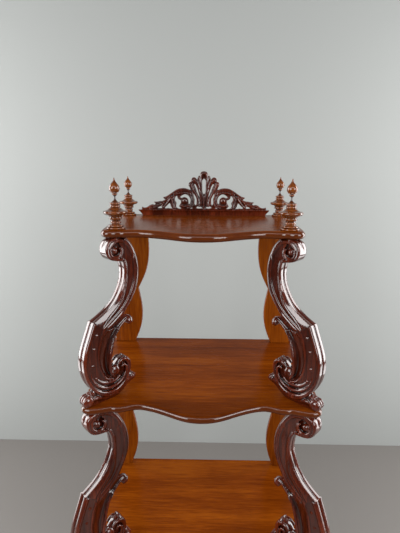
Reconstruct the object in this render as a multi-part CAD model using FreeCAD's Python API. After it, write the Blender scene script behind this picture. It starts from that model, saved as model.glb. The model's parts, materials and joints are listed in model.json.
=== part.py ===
import FreeCAD, Part
import math, os
from FreeCAD import Vector

# Carved mahogany whatnot (etagere), millimetres.
# X is the width, -Y the front, +Z up. The origin is on the floor, under the middle of the bounding box.
# Every shelf has its back edge on one plane; below, plan depths are counted forward from that plane.

# ---- heights ----
foot_height = 134.0
lower_bay = 435.0            # clear height between the bottom and third shelves
middle_bay = 403.0
upper_bay = 352.0
shelf_thickness = 16.0
edge_steps = 8               # facets round each shelf's half-round edge

# ---- plan of the shelves ----
# rear: half width at the back. taper: how much narrower each side is at the front lobes. front: depth of
# the lobes. crease, hollow: the nick beside each lobe and the deepest place of the hollow sweep, as shares
# of the half width at the lobes. hollow_depth: depth of the hollow. bow: depth of the bow in the middle.
top_plan = dict(rear=224, taper=16, front=320, crease=0.798, hollow=0.663, hollow_depth=312, bow=365)
second_plan = dict(rear=264, taper=8, front=368, crease=0.742, hollow=0.547, hollow_depth=348, bow=393)
third_plan = dict(rear=300, taper=8, front=403, crease=0.760, hollow=0.548, hollow_depth=381, bow=428)
bottom_plan = dict(rear=336, taper=6, front=442, crease=0.776, hollow=0.558, hollow_depth=418, bow=466)
crease_depth = 4.0           # how far the nick is cut back from the edge
crease_run = 9.0             # from the nick to where the hollow sweep starts
lobe_radius = 20.0
side_hollow = 2.0            # how far each side edge is hollowed in half way

# ---- front supports, in their own upright plane, turned 45 degrees across each front corner ----
axis_x, axis_depth = 177.5, 292.0       # the front finials' axis, which the supports' plane goes through
support_thickness = 30.0
pattern_height = 352.0                  # height for which the outline below is written
upper_reach, middle_reach, lower_reach = 0.0, 33.0, 78.0    # how far out each support stands
upper_lean, middle_lean, lower_lean = 0.0, 32.0, 34.0       # how far its top leans out
cusp_level = 184.0                      # in the pattern: where the upper scroll meets the lower one
upper_panel_sink, lower_panel_sink = 3.6, 2.5
cove_sink = 9.0
flute_sink = 5.0                        # the hollows between the ridges of a scroll
tendril_thickness = 14.0
reed_groove, reed_groove_depth = 4.0, 2.4    # down the middle of the outer edge, between its two reeds
waist_sink, waist_level, waist_reach = 2.2, 268.0, 43.0    # the arm is thinner below its scroll
cradle_thickness = 24.0
knob_ribs, knob_rounding = 3, 2.6

# ---- rear uprights ----
upright_thickness = 14.0
upright_setback = 9.0                   # from the shelves' back edge to the upright's back face
upright_inset = 11.0                    # from the shelf's rear half width to the upright's outer edge
upright_swell = 5.0                     # how far the outer edge swells beside each lobe
upright_dowel_inset, upright_dowel_gap = 13.0, 24.0

# ---- finials and feet ----
finial_height = 102.6
rear_finial_x, rear_finial_depth = 202.0, 25.0
finial_spigot_radius = 5.0
foot_spigot_radius = 6.0
front_foot_reach = 54.0                 # in the pattern: how far out the front foot's axis is
rear_foot_depth = 40.0
rear_foot_inset = 44.0

# ---- crest ----
crest_rail_height = 15.0
crest_rail_half_width = 175.0
crest_rail_width = 24.0                 # front to back, at the top
crest_setback = 4.0                     # from the back edge to the rail's back face
crest_rail_cove = 3.5                   # how far the front is hollowed in
crest_fret_height = 101.0
crest_fret_thickness = 12.0

# ---- dowels ----
dowel_radius = 4.5
dowel_depth = 18.0                      # into a support or an upright
blind_depth = 10.0                      # into a shelf from one side only
rear_dowel_radius = 3.5
crest_dowel_radius = 3.0
crest_dowel_places = (-80.5, 0.0, 80.5)

# ---- worked out ----
third_level = foot_height + 2 * shelf_thickness + lower_bay
bottom_level = foot_height + shelf_thickness
second_level = third_level + middle_bay + shelf_thickness
top_level = second_level + upper_bay + shelf_thickness
plan_middle = bottom_plan["bow"] / 2    # brings the bounding box's middle to Y = 0
diagonal = math.sqrt(0.5)

os.makedirs("parts", exist_ok=True)


def at(x, depth, z):
    """A point from a half width, a depth forward of the back plane, and a height."""
    return Vector(x, plan_middle - depth, z)


def line(a, b):
    return Part.LineSegment(a, b).toShape()


def curve(points):
    """One smooth edge through the points."""
    spline = Part.BSplineCurve()
    spline.interpolate(points)
    return spline.toShape()


def mirrored(shape):
    return shape.mirror(Vector(0, 0, 0), Vector(1, 0, 0))


def cylinder(radius, height, base):
    return Part.makeCylinder(radius, height, base)


def save(name, shape):
    solids = shape.Solids
    result = solids[0] if len(solids) == 1 else Part.makeCompound(solids)
    result.exportStep("parts/" + name + ".step")
    print(name, len(solids), round(result.Volume), "valid" if result.isValid() else "NOT VALID")


# ---- shelves ----

def inset_points(points, inset):
    """The points of a smooth edge, each moved into the shelf square to the edge."""
    spline = Part.BSplineCurve()
    spline.interpolate(points)
    moved = []
    for point in points:
        along = spline.tangent(spline.parameter(point))[0]
        moved.append(point - Vector(-along.y, along.x, 0) * inset)
    return moved


def shelf_section(plan, inset, z):
    """The outline of a shelf at one height of its rounded edge."""
    rear, front, sweep = plan["rear"], plan["front"], plan["hollow_depth"]
    side = rear - plan["taper"]
    crease, hollow = side * plan["crease"], side * plan["hollow"]
    rise = plan["bow"] - sweep
    lobe = lobe_radius
    nick = (2 * front + sweep) / 3 - crease_depth
    flank = [at(rear, 0, 0), at((rear + side) / 2 - side_hollow, front * 0.5, 0), at(side, front - lobe * 1.3, 0),
             at(side - lobe * 0.3, front - lobe * 0.35, 0), at(side - lobe * 1.2, front, 0),
             at((side - lobe * 1.2 + crease) / 2, front - crease_depth, 0), at(crease, nick, 0)]
    half = [at(crease, nick, 0), at(crease - crease_run, nick + crease_depth * 0.5, 0), at(hollow, sweep, 0)]
    for share, risen in ((0.77, 0.12), (0.5, 0.5), (0.24, 0.88)):
        half.append(at(hollow * share, sweep + rise * risen, 0))
    run = half + [at(0, plan["bow"], 0)] + [Vector(-p.x, p.y, 0) for p in reversed(half)]
    flank, run = inset_points(flank, inset), inset_points(run, inset)
    nick_point = at(crease, nick - inset * 1.25, 0)
    flank[0], flank[-1] = at(rear - inset, 0, 0), nick_point
    run[0], run[-1] = nick_point, Vector(-nick_point.x, nick_point.y, 0)
    side_edge = curve(flank)
    back = line(at(inset - rear, 0, 0), at(rear - inset, 0, 0))
    wire = Part.Wire(Part.sortEdges([back, side_edge, curve(run), mirrored(side_edge)])[0])
    wire.translate(Vector(0, 0, z))
    return wire


def shelf(plan, level):
    """A shelf lofted through sections that follow its half-round edge."""
    radius = shelf_thickness / 2
    sections = []
    for step in range(edge_steps + 1):
        angle = math.pi * step / edge_steps
        sections.append(shelf_section(plan, radius * (1 - math.sin(angle)), radius * (1 - math.cos(angle))))
    slab = Part.makeLoft(sections, True, True)
    slab.translate(Vector(0, 0, level - shelf_thickness))
    return slab


# ---- front supports ----

def pattern(points, bay, reach, lean):
    """Outline points scaled to a bay, leaned out above the cusp and moved to their reach."""
    scale = bay / pattern_height
    moved = []
    for u, w in points:
        shift = lean * max(0.0, w - cusp_level) / (pattern_height - cusp_level)
        moved.append(Vector(reach + u * scale + shift, 0, w * scale))
    return moved


# Outline of a support, clockwise from the top, in its own plane: u outward, w up.
seat_points = [(-13, 352), (8, 352)]
upper_volute_points = [(8, 352), (25, 346), (33.5, 328), (27, 310), (12, 303.5), (-5, 301)]
neck_points = [(-5, 301), (-8.6, 288), (-9.2, 274), (-7.2, 258), (0, 241), (16, 217), (39, 198), (69, 182)]
belly_points = [(69, 182), (84, 145), (94, 116), (97, 94), (94.5, 71), (87, 49), (75, 30), (58, 15),
                (40, 8.5), (21, 11.5), (3, 22), (-10, 43), (-15.8, 65), (-13, 78), (-6, 86.5), (4, 89),
                (14, 85), (23, 75.5), (30, 66)]
lip_points = [(30, 66), (35.5, 80), (36.5, 95), (33.5, 112), (25.5, 135), (18.5, 148), (9, 159), (-3, 163)]
ball_points = [(-3, 163), (-8, 155.5), (-14, 154), (-21, 159), (-23, 168), (-18, 177.5), (-9, 181.5),
               (-3, 184)]
back_points = [(-3, 184), (-10, 194), (-21, 208), (-32, 224), (-40.5, 242), (-45.5, 262), (-46, 284), (-40.5, 311),
               (-31.5, 332), (-23.5, 343), (-13, 352)]

# What is carved into both faces.
cove_points = [(39, 156), (34, 140), (40.5, 118), (45, 92), (43, 68), (36, 54), (44, 54.5), (51, 63), (57, 80),
               (60.5, 103), (59, 122), (53, 142)]
upper_panel = [
    [(-14, 314), (-14.5, 300), (-17.5, 272), (-14.5, 256), (-7, 241), (9, 220), (34, 200), (60, 186.5)],
    [(60, 186.5), (46, 172)],
    [(46, 172), (22, 191), (1, 209), (-13, 224), (-24, 240), (-32, 259), (-35, 282), (-31, 304), (-24, 320)],
    [(-24, 320), (-14, 314)]]
lower_panel = [
    [(64, 176), (77, 143), (87, 115), (90, 93), (87.5, 73), (80, 55), (68, 43)],
    [(68, 43), (56, 50)],
    [(56, 50), (64, 66), (70, 84), (71, 100), (67, 122), (59, 146), (52, 161)],
    [(52, 161), (64, 176)]]
flutes = [
    [(74, 38), (59, 26), (42, 21), (25, 23), (10, 32.5), (0, 46), (-2, 55), (4, 50), (10, 40), (18, 31.5), (28, 25.8),
     (41, 23.8), (57, 28.5)],
    [(69, 46), (57, 35.5), (41, 30.5), (29, 33), (22, 39), (23, 44), (31, 39.5), (43, 36), (56, 40)],
    [(-9, 60), (-7, 71), (-1, 79), (6, 80), (13, 75), (9, 72), (3, 70), (-3, 63)]]
lower_eye, lower_eye_radius = (20.8, 60.0), 9.5
upper_eye, upper_eye_radius = (14.0, 327.5), 6.5
eye_groove = 3.0
tendril_points = [(-30, 148), (20, 148), (31, 160), (22, 166), (10, 175), (-4, 184), (-30, 190)]
cradle_points = [(92, 0), (96, 12), (86, 24), (70, 26), (40, 14), (20, 16), (2, 28), (-6, 34)]
cradle_tip_points = [(-6, 34), (-16, 33), (-25, 37), (-28, 30), (-18, 24), (0, 14), (16, 4), (30, 0)]
knob_center, knob_radius = (89.0, 12.4), 12.4


def closed_face(segments, bay, reach, lean):
    edges = []
    for points in segments:
        moved = pattern(points, bay, reach, lean)
        edges.append(line(*moved) if len(moved) == 2 else curve(moved))
    return Part.Face(Part.Wire(edges))


def slab_about_plane(face, thickness):
    body = face.extrude(Vector(0, thickness, 0))
    body.translate(Vector(0, -thickness / 2, 0))
    return body


def both_faces(pocket, sink):
    """Two cutters that sink a pocket into the two faces of a support."""
    cutters = []
    for side in (-1, 1):
        sunk = pocket.extrude(Vector(0, side * (sink + 1), 0))
        sunk.translate(Vector(0, side * (support_thickness / 2 - sink), 0))
        cutters.append(sunk)
    return cutters


def eye_ring(center, radius, bay, reach, lean):
    """The round groove that sets off the eye of a scroll."""
    middle = pattern([center], bay, reach, lean)[0]
    scale = bay / pattern_height
    discs = [Part.Face(Part.Wire(Part.makeCircle(size * scale, middle, Vector(0, 1, 0))))
             for size in (radius + eye_groove, radius)]
    return discs[0].cut(discs[1])


def edge_groove(points, bay, reach, lean):
    """The groove between the two reeds of an outer edge."""
    outer = pattern(points, bay, reach, lean)
    spline = Part.BSplineCurve()
    spline.interpolate(outer)
    inner, proud = [], []
    for point in outer:
        along = spline.tangent(spline.parameter(point))[0]
        inward = Vector(along.z, 0, -along.x)
        inner.append(point + inward * reed_groove_depth)
        proud.append(point - inward)
    edges = [curve(proud), line(proud[-1], inner[-1]), curve(inner), line(inner[0], proud[0])]
    return slab_about_plane(Part.Face(Part.Wire(Part.sortEdges(edges)[0])), reed_groove)


def support(bay, reach, lean, base_level):
    scale = bay / pattern_height
    outline = [seat_points, upper_volute_points, neck_points, belly_points, lip_points, ball_points,
               back_points]
    body = slab_about_plane(closed_face(outline, bay, reach, lean), support_thickness)

    cutters = []
    for carved, sink in (([cove_points + cove_points[:1]], cove_sink), (upper_panel, upper_panel_sink),
                         (lower_panel, lower_panel_sink)):
        cutters += both_faces(closed_face(carved, bay, reach, lean), sink)
    for flute in flutes:
        cutters += both_faces(closed_face([flute + flute[:1]], bay, reach, lean), flute_sink)
    for center, radius in ((lower_eye, lower_eye_radius), (upper_eye, upper_eye_radius)):
        cutters += both_faces(eye_ring(center, radius, bay, reach, lean), flute_sink)
    corners = pattern(tendril_points, bay, reach, lean)
    around_tendril = Part.Face(Part.makePolygon(corners + corners[:1]))
    cutters += both_faces(around_tendril, (support_thickness - tendril_thickness) / 2)
    cutters += [edge_groove(neck_points, bay, reach, lean), edge_groove(belly_points[:12], bay, reach, lean)]

    # the thin waist of the arm: a wide round hollow across each face
    half_chord, sink = waist_reach * scale, waist_sink
    hollow_radius = (half_chord ** 2 + sink ** 2) / (2 * sink)
    waist = pattern([(0, waist_level)], bay, reach, lean)[0]
    for side in (-1, 1):
        start = Vector(waist.x - half_chord * 2, side * (support_thickness / 2 - sink + hollow_radius), waist.z)
        cutters.append(Part.makeCylinder(hollow_radius, half_chord * 4, start, Vector(1, 0, 0)))
    body = body.cut(cutters)

    foot_line = [cradle_tip_points[-1], cradle_points[0]]
    cradle = slab_about_plane(closed_face([cradle_points, cradle_tip_points, foot_line], bay, reach, lean),
                              cradle_thickness)
    knob_u, knob_w = knob_center
    rib = cradle_thickness / knob_ribs
    ribs = []
    for place in range(knob_ribs):
        start = Vector(reach + knob_u * scale, place * rib - cradle_thickness / 2, knob_w * scale)
        disc = Part.makeCylinder(knob_radius * scale, rib, start, Vector(0, 1, 0))
        rims = [edge for edge in disc.Edges if edge.Closed and edge.Curve.TypeId == "Part::GeomCircle"]
        ribs.append(disc.makeFillet(knob_rounding, rims))
    body = body.fuse([cradle] + ribs)
    below = Part.makeBox(bay, bay, bay, Vector(reach - bay / 2, -bay / 2, -bay))
    body = body.cut(below).removeSplitter()
    body.translate(Vector(0, 0, base_level))
    return body


def to_front_corner(shape):
    """Turns a support from its own plane to the right front corner."""
    shape.rotate(Vector(0, 0, 0), Vector(0, 0, 1), -45)
    shape.translate(at(axis_x, axis_depth, 0))
    return shape


def on_diagonal(reach):
    """Half width and depth of a point at this reach along the supports' plane."""
    return axis_x + reach * diagonal, axis_depth + reach * diagonal


def seat_reach(bay, reach, lean):
    ends = pattern(seat_points, bay, reach, lean)
    return (ends[0].x + ends[1].x) / 2


# ---- rear uprights ----

# The inner edge: share of the height, and the distance from the middle of the upper bay.
inner_lobes = [(1.0, 160), (0.90, 154), (0.745, 152), (0.60, 161), (0.455, 184)]
inner_lobes_low = [(0.455, 184), (0.33, 176), (0.21, 175), (0.09, 184), (0.0, 197)]
upper_swell_level, cusp_share, lower_swell_level = 0.745, 0.455, 0.21


def upright(bay, upper_rear, lower_rear, base_level):
    """A flat board in the XZ plane: two convex lobes inside, a nearly straight edge outside."""
    scale = bay / upper_bay
    top_rear, reference_rear = top_plan["rear"], second_plan["rear"]

    def inner(points):
        placed = []
        for share, x in points:
            straight = top_rear + (reference_rear - top_rear) * (1 - share)
            width = (straight - x) * scale
            own_line = upper_rear + (lower_rear - upper_rear) * (1 - share)
            placed.append(Vector(own_line - width, 0, share * bay))
        return placed

    def outer(share, swell=0.0):
        x = (upper_rear - upright_inset) * share + (lower_rear - upright_inset) * (1 - share)
        return Vector(x + swell * scale, 0, share * bay)

    outer_edge = [outer(1.0), outer(upper_swell_level, upright_swell), outer(cusp_share),
                  outer(lower_swell_level, upright_swell), outer(0.0)]
    upper_curve, lower_curve = inner(inner_lobes), inner(inner_lobes_low)
    edges = [curve(upper_curve), curve(lower_curve), line(lower_curve[-1], outer_edge[-1]),
             curve(outer_edge), line(outer_edge[0], upper_curve[0])]
    wire = Part.Wire(Part.sortEdges(edges)[0])
    board = Part.Face(wire).extrude(Vector(0, -upright_thickness, 0))
    board.translate(at(0, upright_setback, base_level))
    return board


def upright_dowels(rear):
    """Half widths of an upright's two dowels at a shelf of this rear half width."""
    first = rear - upright_inset - upright_dowel_inset
    return first, first - upright_dowel_gap


# ---- turned pieces ----

# Half sections (radius, height) from the foot up. A run of two points is straight, one of three is an arc
# through them, a longer one is a smooth curve, and runs that don't join are stepped. Written for a finial
# 102.6 high and a foot 134 high.
finial_pattern, foot_pattern = 102.6, 134.0
finial_runs = [
    [(17.5, 0), (19.8, 2.1), (17.4, 4.2)], [(14.4, 4.6), (15.9, 6.8), (13.4, 8.8)],
    [(13.4, 8.8), (10.8, 9.8), (9.6, 11.2)], [(9.6, 11.2), (11.1, 13.6), (9.8, 16.0)],
    [(9.4, 17.2), (10.9, 19.3), (13.8, 20.4)], [(13.8, 21.4), (12.4, 23.6), (13.8, 26.2)],
    [(13.8, 26.2), (15.4, 28.3), (17.6, 29.6)], [(17.6, 29.6), (22.8, 30.6), (24.6, 33.8)],
    [(24.6, 33.8), (23.9, 35.8), (21.6, 37.0)], [(21.6, 37.0), (15.8, 39.0), (11.6, 42.4)],
    [(9.0, 42.8), (10.7, 45.8), (9.2, 48.6)], [(9.8, 49.2), (11.1, 51.4), (9.6, 53.6)],
    [(9.6, 53.6), (4.4, 56.4), (2.0, 61.0)], [(2.0, 61.0), (2.0, 66.0)], [(4.4, 67.8), (5.4, 70.0), (4.6, 72.4)],
    [(8.4, 73.2), (8.0, 74.2)],
    [(8.0, 74.2), (9.8, 77.0), (10.6, 81.0), (9.9, 85.0), (7.6, 89.0), (4.9, 92.4), (2.6, 96.2), (1.2, 100.4)],
    [(1.2, 100.4), (0, 102.6)]]
foot_runs = [
    [(13.5, 0), (17.8, 8.8), (13.0, 18.0)], [(12.2, 19.4), (12.0, 23.0), (13.2, 27.0)],
    [(15.0, 28.0), (16.0, 30.0), (15.0, 32.0)], [(15.0, 32.0), (23.4, 52.0), (27.0, 71.0)],
    [(27.0, 71.0), (24.4, 86.8), (16.8, 100.0)], [(16.8, 100.0), (15.0, 102.8), (14.6, 106.0)],
    [(17.4, 107.4), (21.4, 111.3), (17.4, 115.2)], [(15.8, 117.0), (16.8, 119.4), (19.4, 121.0)],
    [(24.0, 121.8), (26.4, 123.2), (27.0, 126.0)], [(27.0, 126.0), (27.0, 134.0)]]


def turned(runs, scale):
    """A solid of revolution from half section runs."""
    runs = [[Vector(radius * scale, 0, height * scale) for radius, height in run] for run in runs]
    top = Vector(0, 0, runs[-1][-1].z)
    edges = [line(Vector(0, 0, 0), runs[0][0])]
    for run, following in zip(runs, runs[1:] + [[top]]):
        edges.append(line(*run) if len(run) == 2 else Part.Arc(*run).toShape() if len(run) == 3 else curve(run))
        if run[-1].distanceToPoint(following[0]) > 1e-6:
            edges.append(line(run[-1], following[0]))
    edges.append(line(top, Vector(0, 0, 0)))
    return Part.Face(Part.Wire(edges)).revolve(Vector(0, 0, 0), Vector(0, 0, 1), 360)


def finial(x, depth, spigot_depth):
    body = turned(finial_runs, finial_height / finial_pattern)
    body = body.fuse(cylinder(finial_spigot_radius, spigot_depth, Vector(0, 0, -spigot_depth)))
    body = body.removeSplitter()
    body.translate(at(x, depth, top_level))
    return body


def foot(x, depth, spigot_depth):
    """A turned foot: toe ring, cupped vase, neck bead and a top flange under the shelf."""
    body = turned(foot_runs, foot_height / foot_pattern)
    body = body.fuse(cylinder(foot_spigot_radius, spigot_depth, Vector(0, 0, foot_height)))
    body = body.removeSplitter()
    body.translate(at(x, depth, 0))
    return body


# ---- crest ----

# Right half of the fret, x from the middle and z above the rail, for a fret 101 high.
fret_pattern = 101.0
fret_outline = [
    [(168, 0), (168, 6.5)],
    [(168, 6.5), (161, 4.5), (154, 6), (146.4, 10.9), (138, 13.3), (132.5, 12)],
    [(132.5, 12), (131.2, 15.5), (135.2, 20.8)],
    [(135.2, 20.8), (126.3, 20.6), (116.9, 22.4), (110, 22.8), (104.8, 24.3)],
    [(104.8, 24.3), (106, 28), (110.8, 32.6)],
    [(110.8, 32.6), (102.8, 34.6), (93.4, 40), (81.7, 48.3), (70, 54.6), (58.5, 57), (46.9, 56), (36.3, 52)],
    [(36.3, 52), (37.5, 58), (40.5, 62.5), (41.2, 68.5), (38, 73), (33.6, 73.2)],
    [(33.6, 73.2), (34.2, 79), (30.8, 84), (25.6, 85.2), (21.4, 82.6), (18.7, 78.6)],
    [(18.7, 78.6), (17.6, 83), (16, 87), (13.6, 89.5), (10.7, 88)],
    [(10.7, 88), (9.8, 95.5), (5.6, 99.8), (0, 101)]]
slot_middle = [(0, 82), (3.6, 78.6), (4.8, 71.3), (4.2, 57.8), (3, 45.3), (0, 40.7)]
fret_gaps = [
    [(26.3, 66.8), (23.6, 67.6), (18.6, 59.9), (13.3, 47.5), (9.8, 36.1), (10.7, 32.4), (13, 34.9), (19.1, 49.7)],
    [(30.1, 45.1), (25.2, 40.5), (20.4, 31.4), (19.6, 22.2), (22.5, 11.8), (24.8, 15.3), (24.6, 24.5),
     (26.9, 34.8)],
    [(64.4, 32.8), (58.6, 37.5), (50.4, 40.4), (42.3, 37), (37.1, 29), (36.5, 19.8), (39.4, 14), (41.2, 18.6),
     (42.3, 26.7), (47, 31.2), (53.9, 33.2), (59.8, 31.1)],
    [(72.5, 37.4), (76, 33.3), (77.5, 24.1), (73.8, 17.2), (75.1, 10.3), (70.4, 3), (61.5, 3), (66.9, 8),
     (63.9, 15), (62.7, 24.2), (69, 27.6), (71.5, 32.2)],
    [(93.1, 17.1), (99.6, 10.1), (106, 3.4), (96.2, 3), (86.5, 3.2), (89.1, 7.9), (90.8, 13.7)],
    [(127, 4.8), (121, 6.4), (114.8, 7.6), (112.6, 5.4), (115.4, 3.4), (122, 3.2)],
    [(20.8, 4.4), (17.6, 7.6), (12.8, 9), (8.2, 7.4), (5.4, 4.4), (8, 3.2), (12.8, 2.8), (17.8, 3.2)],
    [(38, 3.6), (34.2, 5.2), (30.4, 3.6), (34, 2.5)]]


def crest_fret(base_level):
    scale = crest_fret_height / fret_pattern

    def placed(points):
        return [Vector(x * scale, 0, z * scale) for x, z in points]

    right = [curve(placed(run)) if len(run) > 2 else line(*placed(run)) for run in fret_outline]
    left = [mirrored(edge) for edge in right]
    half = fret_outline[0][0][0] * scale
    base = line(Vector(-half, 0, 0), Vector(half, 0, 0))
    wire = Part.Wire(Part.sortEdges(right + left + [base])[0])
    board = Part.Face(wire).extrude(Vector(0, crest_fret_thickness, 0))
    cutters = []
    for gap in fret_gaps:
        hole = Part.Face(Part.Wire([curve(placed(gap + gap[:1]))]))
        hole = hole.extrude(Vector(0, crest_fret_thickness, 0))
        cutters += [hole, mirrored(hole)]
    middle = slot_middle + [(-x, z) for x, z in reversed(slot_middle[1:-1])]
    hole = Part.Face(Part.Wire([curve(placed(middle + middle[:1]))]))
    cutters.append(hole.extrude(Vector(0, crest_fret_thickness, 0)))
    board = board.cut(cutters)
    board.translate(at(0, crest_middle_depth() + crest_fret_thickness / 2, base_level))
    return board


def crest_middle_depth():
    return crest_setback + crest_rail_width / 2


# Share of the rail's height, and how far its ends and its front are drawn in there.
rail_section = [(1.0, 0.0, 0.0), (0.86, 0.0, 0.0), (0.78, 1.0, 0.4), (0.58, 3.8, 0.76), (0.38, 6.4, 0.94),
                (0.18, 8.8, 1.0), (0.0, 10.4, 1.0)]


def crest_rail(base_level):
    """A rail with a flat top edge, slanted ends and a hollowed front."""
    plates = []
    for share, ends, hollow in rail_section:
        z = base_level + crest_rail_height * share
        half = crest_rail_half_width - ends
        front = crest_setback + crest_rail_width - crest_rail_cove * hollow
        corners = [at(-half, crest_setback, z), at(half, crest_setback, z), at(half, front, z), at(-half, front, z)]
        plates.append(Part.makePolygon(corners + corners[:1]))
    return Part.makeLoft(plates, True, True)


# ---- assembly ----

levels = dict(top=top_level, second=second_level, third=third_level, bottom=bottom_level)
plans = dict(top=top_plan, second=second_plan, third=third_plan, bottom=bottom_plan)
tiers = [("upper", upper_bay, upper_reach, upper_lean, "top", "second"),
         ("middle", middle_bay, middle_reach, middle_lean, "second", "third"),
         ("lower", lower_bay, lower_reach, lower_lean, "third", "bottom")]

shelves = {name: shelf(plans[name], levels[name]) for name in plans}
supports, uprights = {}, {}
for tier, bay, reach, lean, above, below in tiers:
    supports[tier] = to_front_corner(support(bay, reach, lean, levels[below]))
    uprights[tier] = upright(bay, plans[above]["rear"], plans[below]["rear"], levels[below])

# front finials: spigot through the top shelf into the upper support
finial_spigot = shelf_thickness + dowel_depth
front_finial = finial(axis_x, axis_depth, finial_spigot)
rear_finial = finial(rear_finial_x, rear_finial_depth, blind_depth)
finial_hole = cylinder(finial_spigot_radius, finial_spigot, at(axis_x, axis_depth, top_level - finial_spigot))
rear_finial_hole = cylinder(finial_spigot_radius, blind_depth,
                            at(rear_finial_x, rear_finial_depth, top_level - blind_depth))
supports["upper"] = supports["upper"].cut(finial_hole)
shelves["top"] = shelves["top"].cut([finial_hole, mirrored(finial_hole), rear_finial_hole,
                                     mirrored(rear_finial_hole)])

# front dowels: one through each corner of the second and third shelves, into both supports
front_dowels = {}
for (tier, bay, reach, lean, above, below), upper_tier in zip(tiers[1:], ("upper", "middle")):
    x, depth = on_diagonal(seat_reach(bay, reach, lean))
    bottom = levels[above] - shelf_thickness - dowel_depth
    dowel = cylinder(dowel_radius, shelf_thickness + 2 * dowel_depth, at(x, depth, bottom))
    front_dowels[above] = dowel
    supports[tier] = supports[tier].cut(dowel)
    supports[upper_tier] = supports[upper_tier].cut(dowel)
    shelves[above] = shelves[above].cut([dowel, mirrored(dowel)])

# front feet: spigot through the bottom shelf into the lower support
foot_x, foot_depth = on_diagonal(lower_reach + front_foot_reach * lower_bay / pattern_height)
foot_spigot = shelf_thickness + dowel_depth
front_foot = foot(foot_x, foot_depth, foot_spigot)
foot_hole = cylinder(foot_spigot_radius, foot_spigot, at(foot_x, foot_depth, foot_height))
supports["lower"] = supports["lower"].cut(foot_hole)
rear_foot_x = bottom_plan["rear"] - rear_foot_inset
rear_foot = foot(rear_foot_x, rear_foot_depth, blind_depth)
rear_foot_hole = cylinder(foot_spigot_radius, blind_depth, at(rear_foot_x, rear_foot_depth, foot_height))
shelves["bottom"] = shelves["bottom"].cut([foot_hole, mirrored(foot_hole), rear_foot_hole,
                                           mirrored(rear_foot_hole)])

# rear dowels: two at each end of each upright
dowel_depth_line = upright_setback + upright_thickness / 2
rear_dowels = {}
for name, low, high in (("top", dowel_depth, blind_depth), ("second", dowel_depth, dowel_depth),
                        ("third", dowel_depth, dowel_depth), ("bottom", blind_depth, dowel_depth)):
    level, group = levels[name], []
    if name == "top":
        start, length = level - shelf_thickness - low, low + high
    elif name == "bottom":
        start, length = level - low, low + high
    else:
        start, length = level - shelf_thickness - low, low + shelf_thickness + high
    for x in upright_dowels(plans[name]["rear"]):
        group.append(cylinder(rear_dowel_radius, length, at(x, dowel_depth_line, start)))
    rear_dowels[name] = group
    shelves[name] = shelves[name].cut(group + [mirrored(pin) for pin in group])
    for tier, bay, reach, lean, above, below in tiers:
        if name in (above, below):
            uprights[tier] = uprights[tier].cut(group)

# crest: rail on the top shelf, fret on the rail, three dowels through the rail
rail = crest_rail(top_level)
fret = crest_fret(top_level + crest_rail_height)
crest_dowels = []
for x in crest_dowel_places:
    crest_dowels.append(cylinder(crest_dowel_radius, 2 * blind_depth + crest_rail_height,
                                 at(x, crest_middle_depth(), top_level - blind_depth)))
shelves["top"] = shelves["top"].cut(crest_dowels)
rail = rail.cut(crest_dowels)
fret = fret.cut(crest_dowels)

for name, shape in shelves.items():
    save("shelf_" + name, shape)
for tier in supports:
    save("front_support_right_" + tier, supports[tier])
    save("front_support_left_" + tier, mirrored(supports[tier]))
    save("rear_upright_right_" + tier, uprights[tier])
    save("rear_upright_left_" + tier, mirrored(uprights[tier]))
for place, finial_shape, foot_shape in (("front", front_finial, front_foot), ("rear", rear_finial, rear_foot)):
    save("finial_" + place + "_right", finial_shape)
    save("finial_" + place + "_left", mirrored(finial_shape))
    save("foot_" + place + "_right", foot_shape)
    save("foot_" + place + "_left", mirrored(foot_shape))
for name, dowel in front_dowels.items():
    save("front_dowels_" + name, Part.makeCompound([dowel, mirrored(dowel)]))
for name, group in rear_dowels.items():
    save("rear_dowels_" + name, Part.makeCompound(group + [mirrored(pin) for pin in group]))
save("crest_rail", rail)
save("crest_fret", fret)
save("crest_dowels", Part.makeCompound(crest_dowels))
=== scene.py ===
import cmath
import json
import math
import bpy
import numpy as np
from mathutils import Matrix, Vector

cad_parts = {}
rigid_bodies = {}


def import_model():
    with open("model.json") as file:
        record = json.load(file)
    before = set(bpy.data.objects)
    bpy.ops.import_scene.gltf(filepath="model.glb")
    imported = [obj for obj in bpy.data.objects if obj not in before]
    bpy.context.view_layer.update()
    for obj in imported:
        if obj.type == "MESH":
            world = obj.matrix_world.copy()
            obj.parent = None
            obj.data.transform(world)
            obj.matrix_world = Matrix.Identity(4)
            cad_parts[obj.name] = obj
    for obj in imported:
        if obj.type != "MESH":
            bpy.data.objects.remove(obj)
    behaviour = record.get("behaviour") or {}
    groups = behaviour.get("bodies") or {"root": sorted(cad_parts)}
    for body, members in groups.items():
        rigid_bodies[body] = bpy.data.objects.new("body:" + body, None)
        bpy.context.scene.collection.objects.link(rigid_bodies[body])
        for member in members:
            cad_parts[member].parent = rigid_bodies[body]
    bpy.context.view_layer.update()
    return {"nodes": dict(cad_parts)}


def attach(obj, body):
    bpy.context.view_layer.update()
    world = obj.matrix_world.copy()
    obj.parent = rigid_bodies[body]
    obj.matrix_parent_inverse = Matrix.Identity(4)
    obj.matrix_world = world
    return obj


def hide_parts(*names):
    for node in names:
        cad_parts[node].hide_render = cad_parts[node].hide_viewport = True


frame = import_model()
nodes = frame["nodes"]
bpy.ops.object.select_all(action="DESELECT")
mm = 0.001
touching = 1e-6  # places this near are one, in metres

# camera: its place in metres, its turn, tilt and roll in degrees, its lens and sensor in mm

cameraSizes = {"place": (0.0076, -0.8608, 1.5019), "turn": 0.9040, "down": 13.4486, "roll": 0.3435,
               "lens": 26.69, "sensor": 36, "nearest": 0.02}


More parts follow.
